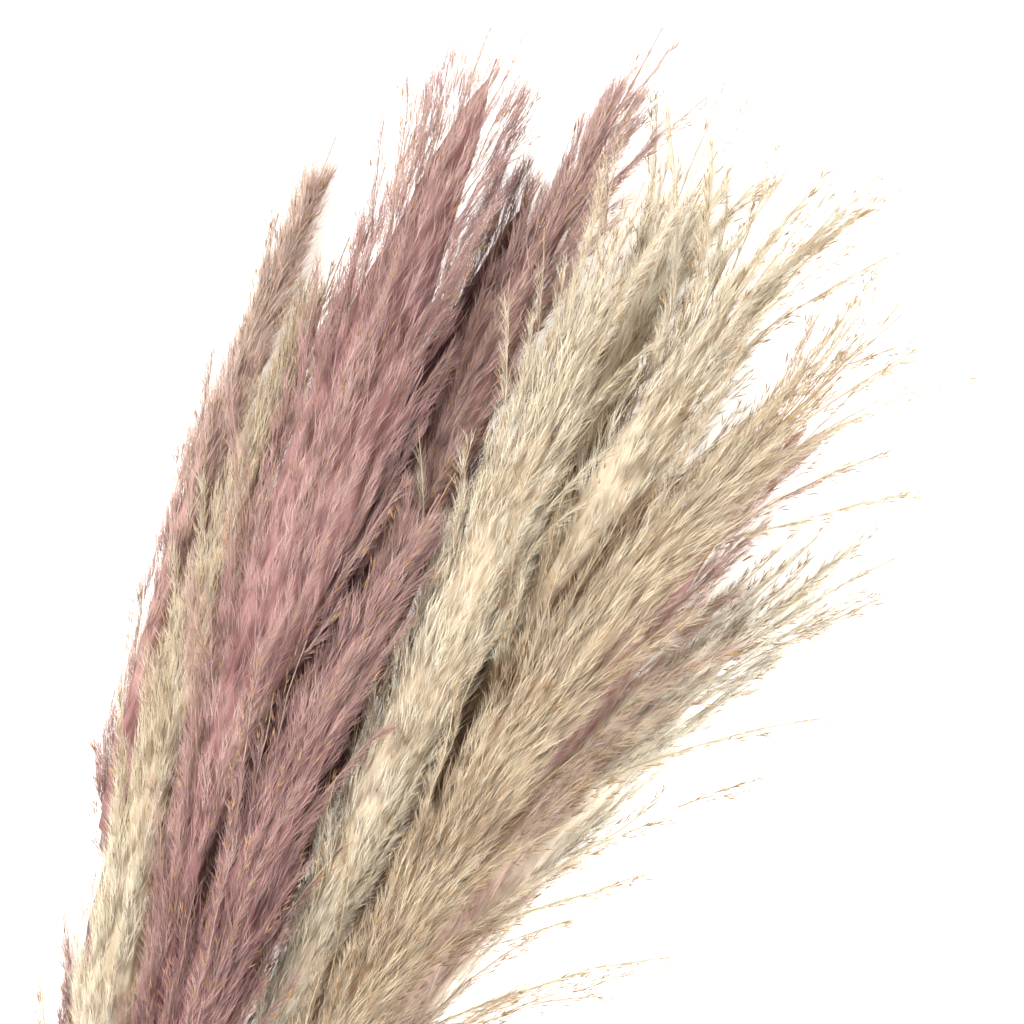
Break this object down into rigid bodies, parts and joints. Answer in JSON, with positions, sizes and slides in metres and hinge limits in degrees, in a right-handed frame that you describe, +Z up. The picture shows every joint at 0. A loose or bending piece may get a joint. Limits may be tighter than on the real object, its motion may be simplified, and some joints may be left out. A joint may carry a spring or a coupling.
{
  "type": "bundle of pampas grass",
  "caption": "Tied bunch of dried pampas grass lying on its side, with long stems and feathery rose and cream plumes that fan out from the tie.",
  "frame": {"origin": "on the surface the bunch lies on, under the middle of its bounding box", "axes": "+Y along the bunch from the cut ends to the plume tips, +X to the right seen from above, +Z up"},
  "size_m": [0.2862, 0.794, 0.0793],
  "materials": {
    "rose_hair": "soft silky hair, dusty rose with pale tips",
    "cream_hair": "soft silky hair, cream with tan shadows",
    "straw_hair": "soft silky hair, straw beige",
    "culm": "dry straw stem, slightly glossy",
    "twine": "natural jute twine, matte"
  },
  "bodies": {
    "root": {"stem_cream_right": "culm", "stem_rose_front": "culm", "stem_rose_tall": "culm", "stem_cream_front": "culm", "stem_cream_crest": "culm", "stem_rose_right": "culm", "stem_rose_crest": "culm", "stem_straw_left": "culm", "stem_cream_tall": "culm", "stem_cream_low": "culm", "stem_rose_back": "culm", "stem_rose_edge": "culm", "plume_cream_right": "cream_hair", "plume_rose_front": "rose_hair", "plume_rose_tall": "rose_hair", "plume_cream_front": "cream_hair", "plume_cream_crest": "cream_hair", "plume_rose_right": "rose_hair", "plume_rose_crest": "rose_hair", "plume_straw_left": "straw_hair", "plume_cream_tall": "cream_hair", "plume_cream_low": "cream_hair", "plume_rose_back": "rose_hair", "plume_rose_edge": "rose_hair", "tie": "twine"}
  },
  "joints": []
}
